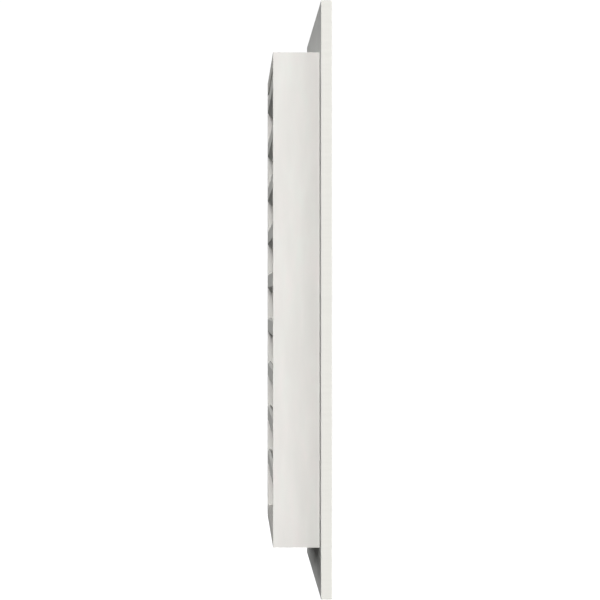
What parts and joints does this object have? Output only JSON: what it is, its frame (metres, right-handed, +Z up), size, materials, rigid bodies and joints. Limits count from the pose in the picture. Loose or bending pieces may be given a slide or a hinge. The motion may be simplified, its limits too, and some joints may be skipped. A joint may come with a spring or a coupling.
{
  "type": "gable vent",
  "caption": "Rectangular louvred gable vent: a flat trim frame on a shallow sleeve that holds a bank of sloping fixed louvres.",
  "frame": {"origin": "centre of the opening in the wall plane, which is the back face of the trim", "axes": "-Y is the front that faces the weather, +Y runs back into the wall along the sleeve, +Z is up, +X is right seen from the front"},
  "size_m": [0.6604, 0.0842, 0.8636],
  "materials": {
    "trim_board": "smooth extruded cellular PVC, unpainted white",
    "sleeve_board": "cellular PVC board, smooth faces and sawn edges",
    "louvre_board": "cellular PVC board, smooth faces and planed edges"
  },
  "bodies": {
    "root": {"trim_stile_left": "trim_board", "trim_stile_right": "trim_board", "trim_rail_bottom": "trim_board", "trim_rail_top": "trim_board", "sleeve_side_left": "sleeve_board", "sleeve_side_right": "sleeve_board", "sleeve_sill": "sleeve_board", "sleeve_head": "sleeve_board", "louvre_1": "louvre_board", "louvre_2": "louvre_board", "louvre_3": "louvre_board", "louvre_4": "louvre_board", "louvre_5": "louvre_board", "louvre_6": "louvre_board", "louvre_7": "louvre_board", "louvre_8": "louvre_board", "louvre_9": "louvre_board"}
  },
  "joints": []
}
